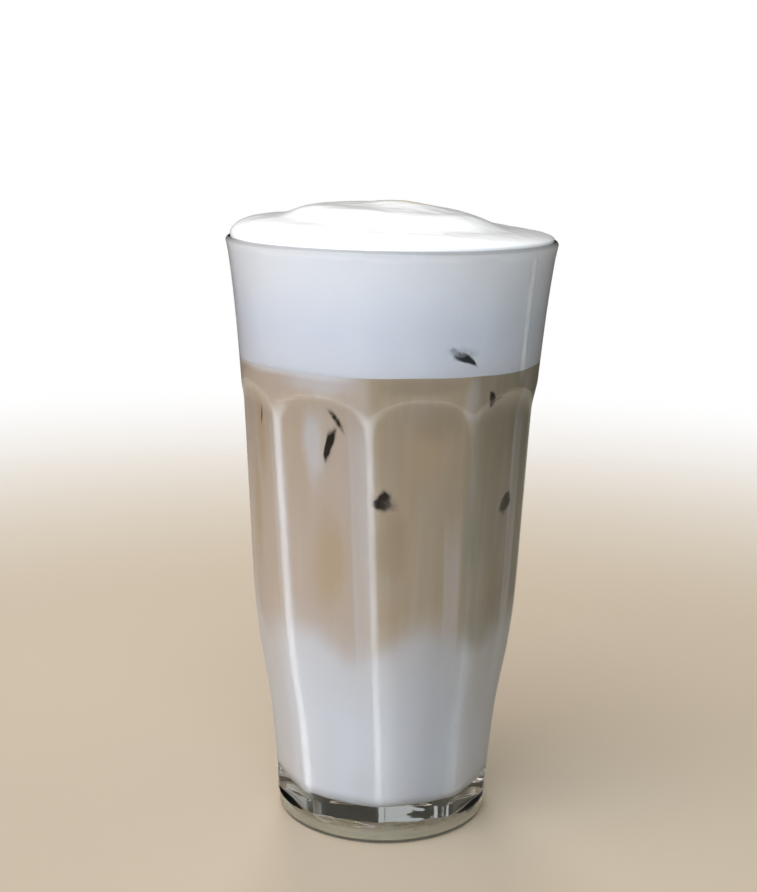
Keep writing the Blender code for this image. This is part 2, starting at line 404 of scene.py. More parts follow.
def glass_outline():
    """Fine turned profile of the glass, from the lip's top down the outside and back up the inside."""
    lip_z = LIP_FOOT
    arch_top = FLUTE_CROWN + 0.0016
    flute_foot = FOOT_HEIGHT + FOOT_STEP
    rest_outer = outer_radius(0) - FOOT_ROUND
    rest_inner = rest_outer - REST_RING_WIDTH
    outer = evenly(lip_z, arch_top, 11)[1:]
    outer += evenly(arch_top, FLUTE_SPRINGING, 22)[1:]
    outer += evenly(FLUTE_SPRINGING, flute_foot + FOOT_FILLET, 26)[1:]
    outer += evenly(flute_foot + FOOT_FILLET, flute_foot, 4)[1:]
    outer += evenly(flute_foot, FOOT_HEIGHT, 6)[1:]
    outer += evenly(FOOT_HEIGHT, FOOT_ROUND, 6)[1:-1]
    points = arc(outer_radius(GLASS_HEIGHT) - LIP_ROUND, lip_z, LIP_ROUND, 90, 0, 9)
    points += [(outer_radius(z), z) for z in outer]
    points += arc(rest_outer, FOOT_ROUND, FOOT_ROUND, 0, -90, 7)
    points += [(rest_outer - REST_RING_WIDTH / 2, 0), (rest_inner, 0)]
    for t in evenly(0, 1, 7)[1:]:
        points.append((rest_inner - RECESS_SLOPE * t, UNDERSIDE_RECESS * smooth_step(0, 1, t)))
    points += [(rest_inner * 0.4, UNDERSIDE_RECESS), (0, UNDERSIDE_RECESS)]
    points += [(0, BASE_THICKNESS), (rest_inner * 0.4, BASE_THICKNESS)]
    points += corner_run(10)
    points += [(inner_radius(z), z) for z in evenly(INNER_PROFILE[0][0], lip_z, 26)[1:]]
    points += arc(inner_radius(GLASS_HEIGHT) + LIP_ROUND, lip_z, LIP_ROUND, 180, 90, 9)[1:]
    return points


def glass_mesh():
    """The glass with its flutes pressed into the turned body."""
    outline = glass_outline()
    mesh = spun(outline + outline[:1], GLASS_COLUMNS)
    painted_highlight = mesh.verts.layers.float.new(PAINTED_HIGHLIGHT)
    for vert in mesh.verts:
        height = vert.co.z
        radius = math.hypot(vert.co.x, vert.co.y)
        on_outside = abs(radius - outer_radius(height)) < 10 * TOUCHING
        # Painted highlight: a share on the foot's rolled edge, and on the ribs, arches, foot and seam from
        # fluted_radius
        if height < FOOT_ROUND and radius > outer_radius(0) - FOOT_ROUND + TOUCHING:
            vert[painted_highlight] = FOOT_ROUND_LIGHT
        if on_outside and FOOT_ROUND < height < LIP_FOOT:
            fluted, vert[painted_highlight] = fluted_radius(height, azimuth_of(vert.co))
            vert.co.x *= fluted / radius
            vert.co.y *= fluted / radius
        vert.co.x, vert.co.y = Matrix.Rotation(RIB_TURN * (height - RIB_LEVEL), 2) @ vert.co.xy
    return mesh


# Drink


def milk_surface(level, azimuth, share):
    """Height of the uneven border between the white milk and the coffee milk."""
    turned = (azimuth - FIRST_RIB_AZIMUTH) % (2 * math.pi)
    wave = 0.6 * math.sin(2 * turned + 0.8) + 0.4 * math.sin(3 * turned - 1.9)
    return level + MILK_LEVEL_WAVE * share * wave


def coffee_surface(azimuth):
    """How far the coffee's top lies below its flat level at its edge."""
    turn = math.degrees(azimuth)
    dip = smooth_step(34, 46, turn) * (1 - smooth_step(90, 150, turn))
    ripple = 0.6 * math.sin(5 * azimuth + 0.4) + 0.4 * math.sin(11 * azimuth)
    return -COFFEE_DIP * dip + COFFEE_RIPPLE * ripple


def bend_coffee_top(mesh, level):
    """Give the border between the coffee and the foam its uneven height towards the wall."""
    for vert in mesh.verts:
        if abs(vert.co.z - level) > TOUCHING:
            continue
        reach = math.hypot(vert.co.x, vert.co.y)
        share = smooth_step(0.4, 1.0, reach / (inner_radius(level) + INTO_WALL))
        vert.co.z = level + coffee_surface(azimuth_of(vert.co)) * share
        if share > 0.5:
            spread = (inner_radius(vert.co.z) + INTO_WALL) / reach
            vert.co.x *= spread
            vert.co.y *= spread


def wall_run(high, low, count):
    """Profile points just inside the glass's wall, from high down to low."""
    return [(inner_radius(z) + INTO_WALL, z) for z in evenly(high, low, count)]


def bend_border(mesh, level, lift):
    """Give a layer's flat border its uneven height, and keep its edge in the wall."""
    for vert in mesh.verts:
        if abs(vert.co.z - level) > TOUCHING:
            continue
        reach = math.hypot(vert.co.x, vert.co.y)
        share = reach / (inner_radius(level) + INTO_WALL)
        vert.co.z = milk_surface(level, azimuth_of(vert.co), share) + lift
        spread = (inner_radius(vert.co.z) + INTO_WALL) / (inner_radius(level) + INTO_WALL)
        vert.co.x *= spread
        vert.co.y *= spread


def milk_mesh(level):
    """White milk at the bottom of the glass."""
    edge = inner_radius(level)
    top = [(edge * share, level) for share in evenly(0, 0.95, 9)]
    side = wall_run(level, INNER_PROFILE[0][0], 24)
    corner = [(r + INTO_WALL, z - INTO_WALL) for r, z in reversed(corner_run(12)[:-1])]
    mesh = spun(top + side + corner + [(0, BASE_THICKNESS - INTO_WALL)], DRINK_COLUMNS)
    bend_border(mesh, level, 0)
    return mesh


def coffee_mesh(level):
    """Coffee milk between the white milk and the foam."""
    edge = inner_radius(level)
    side = wall_run(COFFEE_LEVEL, level, 34)
    top = [(inner_radius(COFFEE_LEVEL) * share, COFFEE_LEVEL) for share in evenly(0, 0.96, 8)]
    bottom = [(edge * share, level) for share in evenly(0.95, 0, 9)]
    mesh = spun(top + side + bottom, DRINK_COLUMNS)
    bend_border(mesh, level, -LAYER_LAP)
    bend_coffee_top(mesh, COFFEE_LEVEL)
    return mesh


def foam_top(x, y, rise):
    """Height of the foam's top: a full shoulder over the lip, a broad low mound and slight lumps."""
    reach = min(math.hypot(x, y) / FOAM_BULGE, 1.0)
    shoulder = math.sqrt(1 - reach**6)
    plateau = FOAM_PLATEAU - FOAM_LEAN * x / FOAM_BULGE
    mound = rise * math.exp(-((math.hypot(x, y) / FOAM_MOUND_REACH) ** 8))
    mound += FOAM_CREST * math.exp(-((math.hypot(x - 0.001, y - 0.003) / FOAM_CREST_REACH) ** 2))
    lump = math.sin(150 * x + 1.0) * math.cos(135 * y - 0.6) + 0.6 * math.sin(260 * x - 190 * y)
    fine = noise.fractal(Vector((x, y, 0.3)) * 220, 0.7, 2.0, 2)
    return FOAM_BULGE_HEIGHT + plateau * shoulder + mound + FOAM_LUMP * (lump + 0.6 * fine) * shoulder


def foam_mesh(rise):
    """Cap of milk foam that bulges over the lip's inner edge, with its mound above."""
    shares = [1 - (1 - t) ** 1.7 for t in evenly(0, 1, 60)]
    top = [(FOAM_BULGE * share, FOAM_BULGE_HEIGHT) for share in shares]
    lip_centre = inner_radius(GLASS_HEIGHT) + LIP_ROUND
    under = [(FOAM_BULGE - INTO_WALL, FOAM_BULGE_HEIGHT - 0.0003)]
    seat = arc(lip_centre, LIP_FOOT, LIP_ROUND - INTO_WALL, 92, 172, 8)
    side = wall_run(LIP_FOOT, COFFEE_LEVEL - LAYER_LAP, 22)
    low = COFFEE_LEVEL - LAYER_LAP
    bottom = [(inner_radius(low) * share, low) for share in evenly(0.96, 0, 8)]
    mesh = spun(top + under + seat + side + bottom, DRINK_COLUMNS)
    bend_coffee_top(mesh, low)
    for vert in mesh.verts:
        if abs(vert.co.z - FOAM_BULGE_HEIGHT) < TOUCHING:
            vert.co.z = foam_top(vert.co.x, vert.co.y, rise)
    return mesh


# Ice


def bare_ice_spot(mesh, bare, spot):
    """Add one dark place of ice, painted shade: a flat ragged ball on the wall, which may be bent and
    tapered.
    """
    azimuth, level, half_length, half_width, lean, bend, taper, darkness = spot
    lean = math.radians(lean)
    ball = bmesh.ops.create_uvsphere(mesh, u_segments=40, v_segments=20, radius=1)
    for vert in ball["verts"]:
        along, over, out = vert.co
        swell = 1 + ICE_RAGGED * noise.noise(Vector((1.6 * along, 1.6 * over, level * 1000)))
        length = along * swell * half_length
        width = over * swell * (1 - taper * along) * half_width + bend * (1 - along * along)
        across = length * math.cos(lean) - width * math.sin(lean)
        height = level + length * math.sin(lean) + width * math.cos(lean)
        turn = math.radians(azimuth) + across / inner_radius(level)
        out_of_drink = ICE_PROUD * smooth_step(0, 0.4, out) if out > 0 else ICE_DEPTH * out
        radius = inner_radius(height) + INTO_WALL + out_of_drink
        vert.co = radius * math.sin(turn), -radius * math.cos(turn), height
        vert[bare] = darkness * smooth_step(1.0, ICE_SOLID, math.hypot(along, over)) if out > 0 else 0.0


def bare_ice_mesh():
    """Every place where ice lies bare against the wall, as dark painted shade."""
    mesh = bmesh.new()
    bare = mesh.verts.layers.float.new(BARE_ICE_SHADE)
    for spot in BARE_ICE:
        bare_ice_spot(mesh, bare, spot)
    return mesh


def ice_cube(azimuth, level, turn, side):
    """One worn ice cube with rounded edges and slightly uneven faces."""
    cube = bmesh.new()
    bmesh.ops.create_cube(cube, size=side)
    bmesh.ops.subdivide_edges(cube, edges=cube.edges, cuts=7, use_grid_fill=True)
    seed = Vector((turn, level, azimuth))
    for vert in cube.verts:
        ball = vert.co.normalized() * side * ICE_BALL
        worn = 1 + ICE_WEAR * noise.noise(vert.co / side * 2.5 + seed)
        vert.co = vert.co.lerp(ball, ICE_ROUNDNESS) * worn
    angle = math.radians(azimuth)
    place = Matrix.Translation((ICE_CUBE_REACH * math.sin(angle), -ICE_CUBE_REACH * math.cos(angle), level))
    spin = Quaternion(Vector((0.4, 0.7, 1.0)).normalized(), turn)
    bmesh.ops.transform(cube, verts=cube.verts, matrix=place @ spin.to_matrix().to_4x4())
    return cube


def ice_cubes_mesh(side):
    """All the ice that is sunk in the coffee milk."""
    mesh = bmesh.new()
    one = bpy.data.meshes.new("one_cube")
    for azimuth, level, turn in ICE_CUBES:
        cube = ice_cube(azimuth, level, turn, side)
        cube.to_mesh(one)
        cube.free()
        mesh.from_mesh(one)
    bpy.data.meshes.remove(one)
    return mesh


# Materials

LILAC_SHADE = (0.985, 0.955, 0.975)
GLASS_IOR = 1.5
ICE_IOR = 1.31
FILM_IOR = 1.33

# What wets the glass's inside hardly shines, because glass and drink bend light nearly alike
WET_AGAINST_GLASS = 0.05

# Painted shade along the lip, standing for the dark the eye sees on its long way along it: share of light
# that the lip lets through
LIP_PAINTED_SHADE = 0.60

# Tint of the thick foot, which looks a little warm
FOOT_TINT = (1.0, 0.96, 0.79)

# Fineness of the drink's patterns along X, Y and Z, in waves per metre
PLUMES = (70, 70, 34)
BROAD_CLOUDS = (42, 42, 22)
RAGGED_EDGES = (260, 260, 110)
STREAKS = (230, 230, 9)
HAIRS = (430, 430, 14)
FRAYED_ICE = (950, 950, 950)
BUBBLES = (1900, 1900, 1900)

# Reach of the border's crisp part to each side of its middle, and of the plumes that roughen it
CRISP_REACH = 0.0045
PLUME_REACH = 0.008

# How far the coffee trails above and below the border, and how much further it does at the right
TRAIL_ABOVE = 0.0080
TRAIL_BELOW = 0.0200
TRAIL_RIGHT = 0.0120

# Thickness of the milky haze under the foam at the left, and how ragged its edge is
HAZE_DEPTH = 0.0018
HAZE_RAGGED = 0.0016

# Azimuths in degrees between which the tones of the front pass into those of the back
BACK = (120, 180)

# Heights between which the foam grows paler towards the lip as painted light from above, turns to whiter
# froth at the lip, and to its warm crown, also painted light
PALER_FOAM = (0.124, 0.140)
FROTH_EDGE = (0.1426, 0.1432)
CROWN_EDGE = (0.1428, 0.1436)
STAIN_SCALE = (120, 120, 60)
STAIN_SHIFT = (-0.55, -0.6, -9.05)


def new_material(name):
    """Material with its node tree and its Principled shader."""
    material = bpy.data.materials.new(name)
    material.use_nodes = True
    tree = material.node_tree
    tree.nodes.clear()
    output = tree.nodes.new("ShaderNodeOutputMaterial")
    shader = tree.nodes.new("ShaderNodeBsdfPrincipled")
    tree.links.new(shader.outputs["BSDF"], output.inputs["Surface"])
    return material, tree, shader


def object_place(tree):
    """Sockets with the point's place in metres: whole, and its X, Y and Z."""
    point = tree.nodes.new("ShaderNodeTexCoord").outputs["Object"]
    parts = tree.nodes.new("ShaderNodeSeparateXYZ")
    tree.links.new(point, parts.inputs["Vector"])
    return point, parts.outputs["X"], parts.outputs["Y"], parts.outputs["Z"]


def feed(tree, node, values):
    """Link or set inputs of a node by their name or number."""
    for key, value in values.items():
        socket = node.inputs[key]
        if isinstance(value, bpy.types.NodeSocket):
            tree.links.new(value, socket)
        elif socket.type == "RGBA":
            socket.default_value = (*value[:3], 1.0)
        else:
            socket.default_value = value


def mapped(tree, vector, scale, location=(0, 0, 0)):
    """Scaled and shifted coordinates."""
    node = tree.nodes.new("ShaderNodeMapping")
    feed(tree, node, {"Vector": vector, "Scale": scale, "Location": location})
    return node.outputs["Vector"]


def noise_value(tree, point, scale, shift=(0, 0, 0), detail=2.0, roughness=0.5, distortion=0.0):
    """Fractal noise from 0 to 1, with its own fineness along each axis."""
    node = tree.nodes.new("ShaderNodeTexNoise")
    feed(tree, node, {"Vector": mapped(tree, point, scale, shift), "Scale": 1.0})
    feed(tree, node, {"Detail": detail, "Roughness": roughness, "Distortion": distortion})
    return node.outputs["Fac"]


def maths(tree, operation, first, second=0.0, third=0.0, clamp=False):
    """Math node on sockets or numbers."""
    node = tree.nodes.new("ShaderNodeMath")
    node.operation = operation
    node.use_clamp = clamp
    feed(tree, node, {0: first, 1: second, 2: third})
    return node.outputs["Value"]


def times(tree, first, second):
    """Product of two sockets or numbers."""
    return maths(tree, "MULTIPLY", first, second)


def ranged(tree, value, low, high, to_low=0.0, to_high=1.0, smooth=True):
    """Value mapped from one range to another and held at its ends."""
    node = tree.nodes.new("ShaderNodeMapRange")
    node.interpolation_type = "SMOOTHSTEP" if smooth else "LINEAR"
    feed(tree, node, {"Value": value, "From Min": low, "From Max": high})
    feed(tree, node, {"To Min": to_low, "To Max": to_high})
    return node.outputs["Result"]


def blended(tree, factor, first, second, blend="MIX"):
    """Colour blended from first to second by a factor."""
    node = tree.nodes.new("ShaderNodeMix")
    node.data_type = "RGBA"
    node.blend_type = blend
    feed(tree, node, {0: factor, 6: first, 7: second})
    return node.outputs[2]


def bumped(tree, height, strength, distance):
    """Normal from a height."""
    node = tree.nodes.new("ShaderNodeBump")
    feed(tree, node, {"Height": height, "Strength": strength, "Distance": distance})
    return node.outputs["Normal"]


def painted(tree, attribute):
    """Value of an attribute of the mesh."""
    node = tree.nodes.new("ShaderNodeAttribute")
    node.attribute_name = attribute
    return node.outputs["Fac"]


def far_from_centre(tree, vector):
    """Length of a vector."""
    node = tree.nodes.new("ShaderNodeVectorMath")
    node.operation = "LENGTH"
    tree.links.new(vector, node.inputs[0])
    return node.outputs["Value"]


def glass_material(tint):
    """Clear pressed glass with a painted highlight on its ribs, arches, foot edge and seam, where it
    scatters light instead of letting it through, and painted shade along its lip.
    """
    material, tree, shader = new_material("pressed_glass")
    point, _, _, height = object_place(tree)
    # Painted shade along the lip, which darkens the glass's tint there
    lip = ranged(tree, height, LIP_FOOT - 0.0001, LIP_FOOT + 0.0004)
    foot = ranged(tree, height, FOOT_HEIGHT, FOOT_HEIGHT + FOOT_STEP, 1.0, 0.0)
    body = blended(tree, foot, tint, [c * t for c, t in zip(tint, FOOT_TINT)])
    uneven = noise_value(tree, point, (90, 90, 55), (1.3, 0.2, 0.5))
    # Painted highlight: share of the glass that scatters light instead of letting it through
    painted_highlight_share = times(tree, painted(tree, PAINTED_HIGHLIGHT), ranged(tree, uneven, 0.3, 0.7, 0.75, 1.15))
    streaks = noise_value(tree, point, (60, 60, 12))
    waves = noise_value(tree, point, (70, 70, 35))
    looks = {
        "Base Color": blended(tree, lip, body, [c * LIP_PAINTED_SHADE for c in tint]),
        "IOR": GLASS_IOR,
        "Transmission Weight": maths(tree, "MULTIPLY_ADD", painted_highlight_share, -RIB_PAINTED_HIGHLIGHT, 1.0, clamp=True),
        "Roughness": ranged(tree, streaks, 0.3, 0.7, 0.0, 0.03),
        "Normal": bumped(tree, waves, 0.05, 0.002),
    }
    feed(tree, shader, looks)
    return material


def cloud(tree, turn, height, ragged, place):
    """Share of a soft cloud, from its azimuth in degrees, height, half sizes and strength."""
    azimuth, level, half_width, half_height, strength = place
    across = maths(tree, "SUBTRACT", turn, math.radians(azimuth))
    across = times(tree, across, inner_radius(level) / half_width)
    along = maths(tree, "SUBTRACT", height, level)
    along = times(tree, along, 1 / half_height)
    reach = maths(tree, "MULTIPLY_ADD", across, across, times(tree, along, along))
    reach = maths(tree, "SQRT", reach)
    reach = maths(tree, "MULTIPLY_ADD", ragged, 0.9, reach)
    return ranged(tree, reach, 0.80, 1.85, strength, 0.0)


def flank(tree, turn, start, full):
    """Share that rises between two azimuths, in degrees, and ends again towards the back."""
    rise = ranged(tree, turn, math.radians(start), math.radians(full))
    return times(tree, rise, ranged(tree, turn, math.radians(BACK[0]), math.pi, 1.0, 0.0))


def facet_tone(tree, degrees, colours):
    """Coffee milk's tone round the glass: paler left of the first rib as painted light, warm in front, and
    darker right of the second rib as painted shade.
    """
    first = math.degrees(FIRST_RIB_AZIMUTH)
    second = first + RIB_SPACING
    in_front = ranged(tree, degrees, first - 3, first + 3)
    tone = blended(tree, in_front, colours.pale_coffee, colours.middle_coffee)
    right = ranged(tree, degrees, second - 2, second + 3)
    right = times(tree, right, ranged(tree, degrees, *BACK, 1.0, 0.0))
    tone = blended(tree, right, tone, colours.painted_shade_coffee)
    return blended(tree, ranged(tree, degrees, *BACK), tone, colours.pale_coffee)


def painted_lens_bands(tree, degrees, height, uneven):
    """Share of the pale bands of painted light beside the ribs, which the right front rib shows low down
    only.
    """
    low, high = BAND_EDGES
    offset = RIB_SPACING * FLUTE_COUNT - math.degrees(FIRST_RIB_AZIMUTH) - low
    beside = maths(tree, "MODULO", maths(tree, "ADD", degrees, offset), RIB_SPACING)
    far_side = ranged(tree, beside, high - low - 2 * BAND_SOFTNESS, high - low, 1.0, 0.0)
    inside = times(tree, ranged(tree, beside, 0.0, BAND_SOFTNESS), far_side)
    right_rib = times(tree, ranged(tree, degrees, 10, 15), ranged(tree, degrees, 40, 45, 1.0, 0.0))
    low_down = ranged(tree, height, *RIGHT_BAND_END, 1.0, 0.0)
    shown = blended(tree, right_rib, (1.0, 1.0, 1.0), low_down)
    strength = times(tree, inside, ranged(tree, uneven, 0.3, 0.7, 0.30, 0.60))
    below_arch = ranged(tree, height, *BAND_FADE, 1.0, 0.25)
    return times(tree, times(tree, strength, below_arch), shown)


def coffee_tone(tree, point, turn, degrees, height, broad, colours):
    """Tone of the coffee milk: clouds, streaks, bands of painted light beside the ribs, and haze under the
    foam.
    """
    ragged = noise_value(tree, point, RAGGED_EDGES, detail=3.0, roughness=0.6)
    streaky = noise_value(tree, point, STREAKS, (0.7, 0.3, 0.1))
    hairs = noise_value(tree, point, HAIRS, (0.2, 0.9, 0.4))
    tone = facet_tone(tree, degrees, colours)
    tone = blended(tree, ranged(tree, broad, 0.40, 0.70, 0.0, 0.35), tone, colours.coffee)
    tone = blended(tree, ranged(tree, streaky, 0.35, 0.70, 0.0, 0.18), tone, colours.cool_coffee)
    tone = blended(tree, ranged(tree, hairs, 0.45, 0.80, 0.0, 0.10), tone, colours.milky_coffee)
    for shapes, colour in (
        (WARM_CLOUDS, colours.coffee),
        (DENSE_CLOUDS, colours.densest_coffee),
        (MILKY_CLOUDS, colours.milky_coffee),
    ):
        for shape in shapes:
            tone = blended(tree, cloud(tree, turn, height, ragged, shape), tone, colour)
    tone = blended(tree, painted_lens_bands(tree, degrees, height, streaky), tone, colours.milky_coffee)
    from_top = maths(tree, "SUBTRACT", COFFEE_LEVEL + HAZE_RAGGED / 2, height)
    from_top = maths(tree, "MULTIPLY_ADD", ragged, -HAZE_RAGGED, from_top)
    left = flank(tree, times(tree, turn, -1.0), 8, 22)
    haze = times(tree, ranged(tree, from_top, 0.0, HAZE_DEPTH, 0.55, 0.0), left)
    return blended(tree, haze, tone, colours.foam)


def milk_tone(tree, turn, wound, degrees, height, broad, colours):
    """Tone of the white milk: darker and warmer towards both sides, with painted shade right of the front
    rib and painted light on its underside on the glass's base.
    """
    milk = blended(tree, ranged(tree, broad, 0.35, 0.70, 0.0, 0.16), colours.milk, colours.pale_coffee)
    left_side = times(tree, flank(tree, times(tree, turn, -1.0), 48, 66), 0.22)
    sides = maths(tree, "MULTIPLY_ADD", flank(tree, turn, 34, 48), 0.16, left_side)
    milk = blended(tree, sides, milk, colours.coffee)
    # Painted shade: the milk darkened towards black right of the front rib
    shade = times(tree, flank(tree, wound, -6, 28), ranged(tree, degrees, 33, 40, 0.17, 0.07))
    milk = blended(tree, shade, milk, (0.0, 0.0, 0.0))
    # Painted light: a paler, warmer colour on the milk's underside on the glass's base
    underside = ranged(tree, height, BASE_THICKNESS, BASE_THICKNESS + 0.0003, 1.0, 0.0)
    return blended(tree, underside, milk, colours.painted_light_underside)


def coffee_share(tree, turn, height, plumes, level):
    """Share of coffee across the cloudy border with the milk, where it trails further at the right."""
    wave = maths(tree, "MULTIPLY_ADD", turn, BORDER_WAVES, -BORDER_WAVES * BORDER_WAVE_START)
    above = maths(tree, "MULTIPLY_ADD", maths(tree, "SINE", wave), -BORDER_WAVE, height)
    above = maths(tree, "ADD", above, PLUME_REACH / 2 - level)
    above = maths(tree, "MULTIPLY_ADD", plumes, -PLUME_REACH, above)
    crisp = ranged(tree, above, -CRISP_REACH, CRISP_REACH, 0.0, 0.50)
    lower = maths(tree, "MULTIPLY_ADD", flank(tree, turn, 20, 50), -TRAIL_RIGHT, -TRAIL_BELOW)
    span = maths(tree, "SUBTRACT", TRAIL_ABOVE, lower)
    trailing = maths(tree, "DIVIDE", maths(tree, "SUBTRACT", above, lower), span, clamp=True)
    trailing = times(tree, maths(tree, "POWER", trailing, 1.5), 0.50)
    return maths(tree, "ADD", crisp, trailing)


def drink_material(name, colours, level):
    """Coffee milk above, white milk below, and a cloudy border where they mix."""
    material, tree, shader = new_material(name)
    point, x, y, height = object_place(tree)
    turn = maths(tree, "ARCTAN2", x, times(tree, y, -1.0))
    wound = maths(tree, "MULTIPLY_ADD", height, -RIB_TURN, RIB_TURN * RIB_LEVEL)
    wound = maths(tree, "ADD", turn, wound)
    degrees = times(tree, wound, 180 / math.pi)
    plumes = noise_value(tree, point, PLUMES, (0.4, 0.1, 0.7), detail=3.0, distortion=0.4)
    broad = noise_value(tree, point, BROAD_CLOUDS, (3.1, 1.7, 0.2))
    coffee = coffee_tone(tree, point, turn, degrees, height, broad, colours)
    milk = milk_tone(tree, turn, wound, degrees, height, broad, colours)
    mixed = coffee_share(tree, turn, height, plumes, level - BORDER_DROP)
    looks = {
        "Base Color": blended(tree, mixed, milk, coffee),
        "Roughness": ranged(tree, plumes, 0.2, 0.8, 0.30, 0.42),
        "Specular IOR Level": WET_AGAINST_GLASS,
    }
    feed(tree, shader, looks)
    return material


def foam_material(foam, froth_and_painted_light, painted_light_crown, stain):
    """Fine milk foam with tiny bubbles, paler towards the lip and whitest on its warm crown as froth and
    painted light from above, and a faint stain on its crest.
    """
    material, tree, shader = new_material("fine_foam")
    point, _, _, height = object_place(tree)
    mottled = noise_value(tree, point, (90, 90, 60), detail=4.0)
    shade = ranged(tree, mottled, 0.3, 0.7)
    settled = blended(tree, shade, [c * s for c, s in zip(foam, LILAC_SHADE)], foam)
    uneven = maths(tree, "MULTIPLY_ADD", mottled, 0.004, height)
    # Painted light from above: paler towards the lip, whiter froth at the lip and the warm white crown
    pale = blended(tree, ranged(tree, uneven, *PALER_FOAM, 0.0, 0.7), settled, froth_and_painted_light)
    pale = blended(tree, ranged(tree, uneven, *FROTH_EDGE), pale, froth_and_painted_light)
    pale = blended(tree, ranged(tree, height, *CROWN_EDGE), pale, painted_light_crown)
    from_stain = far_from_centre(tree, mapped(tree, point, STAIN_SCALE, STAIN_SHIFT))
    ragged = noise_value(tree, point, (400, 400, 400), detail=4.0, roughness=0.6)
    spread = maths(tree, "MULTIPLY_ADD", ragged, 0.9, from_stain)
    stained = ranged(tree, spread, 0.75, 1.35, 0.75, 0.0)
    bubbles = tree.nodes.new("ShaderNodeTexVoronoi")
    feed(tree, bubbles, {"Vector": mapped(tree, point, BUBBLES), "Scale": 1.0})
    looks = {
        "Base Color": blended(tree, stained, pale, stain),
        "Roughness": 0.65,
        "Coat Weight": 0.9,
        "Coat Roughness": 0.10,
        "Coat IOR": FILM_IOR,
        "Subsurface Weight": 0.35,
        "Subsurface Scale": 0.005,
        "Subsurface Radius": (1.0, 0.95, 0.9),
        "Normal": bumped(tree, bubbles.outputs["Distance"], 0.12, 0.0003),
    }
    feed(tree, shader, looks)
    return material


def bare_ice_material(colours):
    """Ice against the wall: nearly black where it is bare, painted shade for the dark seen through it, and
    veiled by the drink at its soft edge.
    """
    material, tree, shader = new_material("bare_ice_painted_shade")
    point, _, _, height = object_place(tree)
    in_foam = ranged(tree, height, COFFEE_LEVEL, COFFEE_LEVEL + 0.001)
    veil = blended(tree, in_foam, colours.pale_coffee, colours.foam)
    # Painted shade: the bare ice nearly black in the coffee and dark blue-grey in the foam
    depth = blended(tree, in_foam, colours.deep_ice_painted_shade, colours.foam_ice_painted_shade)
    frayed = noise_value(tree, point, FRAYED_ICE, detail=3.0, roughness=0.6)
    edge = times(tree, ranged(tree, frayed, 0.3, 0.7, 0.75, 1.30), painted(tree, BARE_ICE_SHADE))
    solid = ranged(tree, edge, 0.0, 0.50, smooth=False)
    smears = noise_value(tree, point, (400, 400, 400))
    looks = {
        "Base Color": blended(tree, solid, veil, depth),
        "Alpha": solid,
        "Roughness": ranged(tree, smears, 0.3, 0.7, 0.15, 0.35),
        "Specular IOR Level": WET_AGAINST_GLASS,
    }
    feed(tree, shader, looks)
    return material


def ice_material():
    """Clear ice with cloudy patches."""
    material, tree, shader = new_material("clear_ice")
    point = object_place(tree)[0]
    frost = noise_value(tree, point, (140, 140, 140), detail=4.0)
    looks = {
        "Base Color": (0.95, 0.97, 0.98),
        "IOR": ICE_IOR,
        "Transmission Weight": ranged(tree, frost, 0.45, 0.75, 0.95, 0.6),
        "Roughness": ranged(tree, frost, 0.3, 0.7, 0.02, 0.2),
    }
    feed(tree, shader, looks)
    return material


# Studio

# Distances from the glass between which the floor fades out
FLOOR_FADE = (0.17, 0.60)

# Heights of the light's direction between which the room gets its light
HORIZON = (-0.15, 0.02)

# Share of the room's dim light that is left behind the glass
DIM_BEHIND = 0.45

# Two discs side by side that make the panel behind: direction, and the closeness to it at their soft edge
PANEL_DISCS = (
    ((-0.25, 0.85, 0.46), 0.99610, 0.99650),
    ((-0.075, 0.885, 0.46), 0.99640, 0.99690),
)

KEY_PLACE = (-0.12, 0.8, 0.95)
KEY_SIZE = (0.35, 0.3)
KEY_COLOUR = (1.0, 0.99, 0.97)

# Camera at the photograph's viewing angle: the lens sees 892 pixels across 36 mm at 1500 pixels' distance
SENSOR_MM = 36.0
LENS_MM = SENSOR_MM * 1500 / 892
CAMERA_DISTANCE = 0.3569
CAMERA_HEIGHT = 0.1714
CAMERA_PITCH = math.radians(12.5)
CAMERA_TURN = math.radians(-0.37)
CAMERA_ROLL = math.radians(1.06)


def glow(tree, direction, towards, low, high):
    """Share of a soft glow that is centred on a direction."""
    facing = tree.nodes.new("ShaderNodeVectorMath")
    facing.operation = "DOT_PRODUCT"
    feed(tree, facing, {0: direction, 1: Vector(towards).normalized()})
    return ranged(tree, facing.outputs["Value"], low, high)


